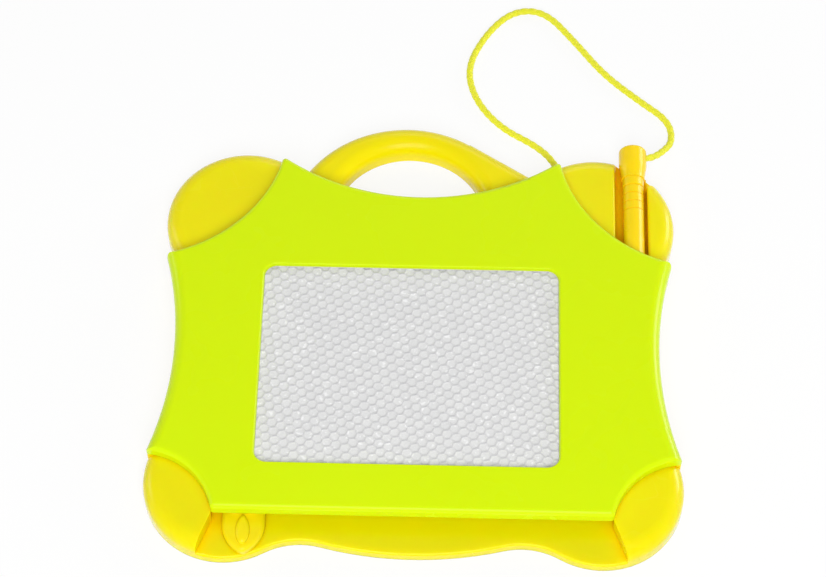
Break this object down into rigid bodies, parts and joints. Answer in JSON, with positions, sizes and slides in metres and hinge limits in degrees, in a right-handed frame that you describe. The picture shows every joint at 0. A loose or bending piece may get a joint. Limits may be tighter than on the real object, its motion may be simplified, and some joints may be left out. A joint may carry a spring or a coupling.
{
  "type": "magnetic drawing board",
  "caption": "Magnetic drawing board with a honeycomb screen, sliding eraser, carrying handle and a corded pen in a corner channel.",
  "frame": {"origin": "middle of the base on the surface, with the board lying on its back", "axes": "+X to the right and +Y up the board towards the handle, as seen from its face; +Z out of the face"},
  "size_m": [0.2137, 0.2698, 0.017],
  "materials": {
    "yellow_casing": "smooth moulded",
    "lime_frame": "smooth moulded",
    "yellow_handle": "smooth moulded",
    "yellow_slider": "smooth moulded",
    "amber_pen": "smooth moulded",
    "clear_film": "clear film",
    "grey_cells": "milky liquid in cells",
    "white_film": "satin",
    "tape": "foam tape",
    "screw_steel": "zinc plated",
    "magnet_strip": "flexible magnet",
    "pen_magnet": "sintered magnet",
    "braid": "braided polyester"
  },
  "bodies": {
    "board": {"casing": "yellow_casing", "front_frame": "lime_frame", "handle": "yellow_handle", "front_film": "clear_film", "honeycomb_core": "grey_cells", "back_film": "white_film", "panel_rim": "white_film", "panel_tape": "tape", "casing_screws": "screw_steel", "handle_screws": "screw_steel", "casing_knot": "braid", "cord": "braid"},
    "eraser": {"eraser_carrier": "yellow_slider", "eraser_magnet": "magnet_strip", "eraser_knob": "yellow_slider"},
    "pen": {"pen_barrel": "amber_pen", "pen_cap": "amber_pen", "pen_nose": "amber_pen", "pen_magnet": "pen_magnet", "cap_knot": "braid"}
  },
  "joints": [
    {"name": "eraser_slide", "type": "slide", "parent": "board", "child": "eraser", "axis": [1, 0, 0], "range_m": [0, 0.131]},
    {"name": "pen_slide", "type": "slide", "parent": "board", "child": "pen", "axis": [0, 1, 0], "range_m": [0, 0.09]}
  ]
}
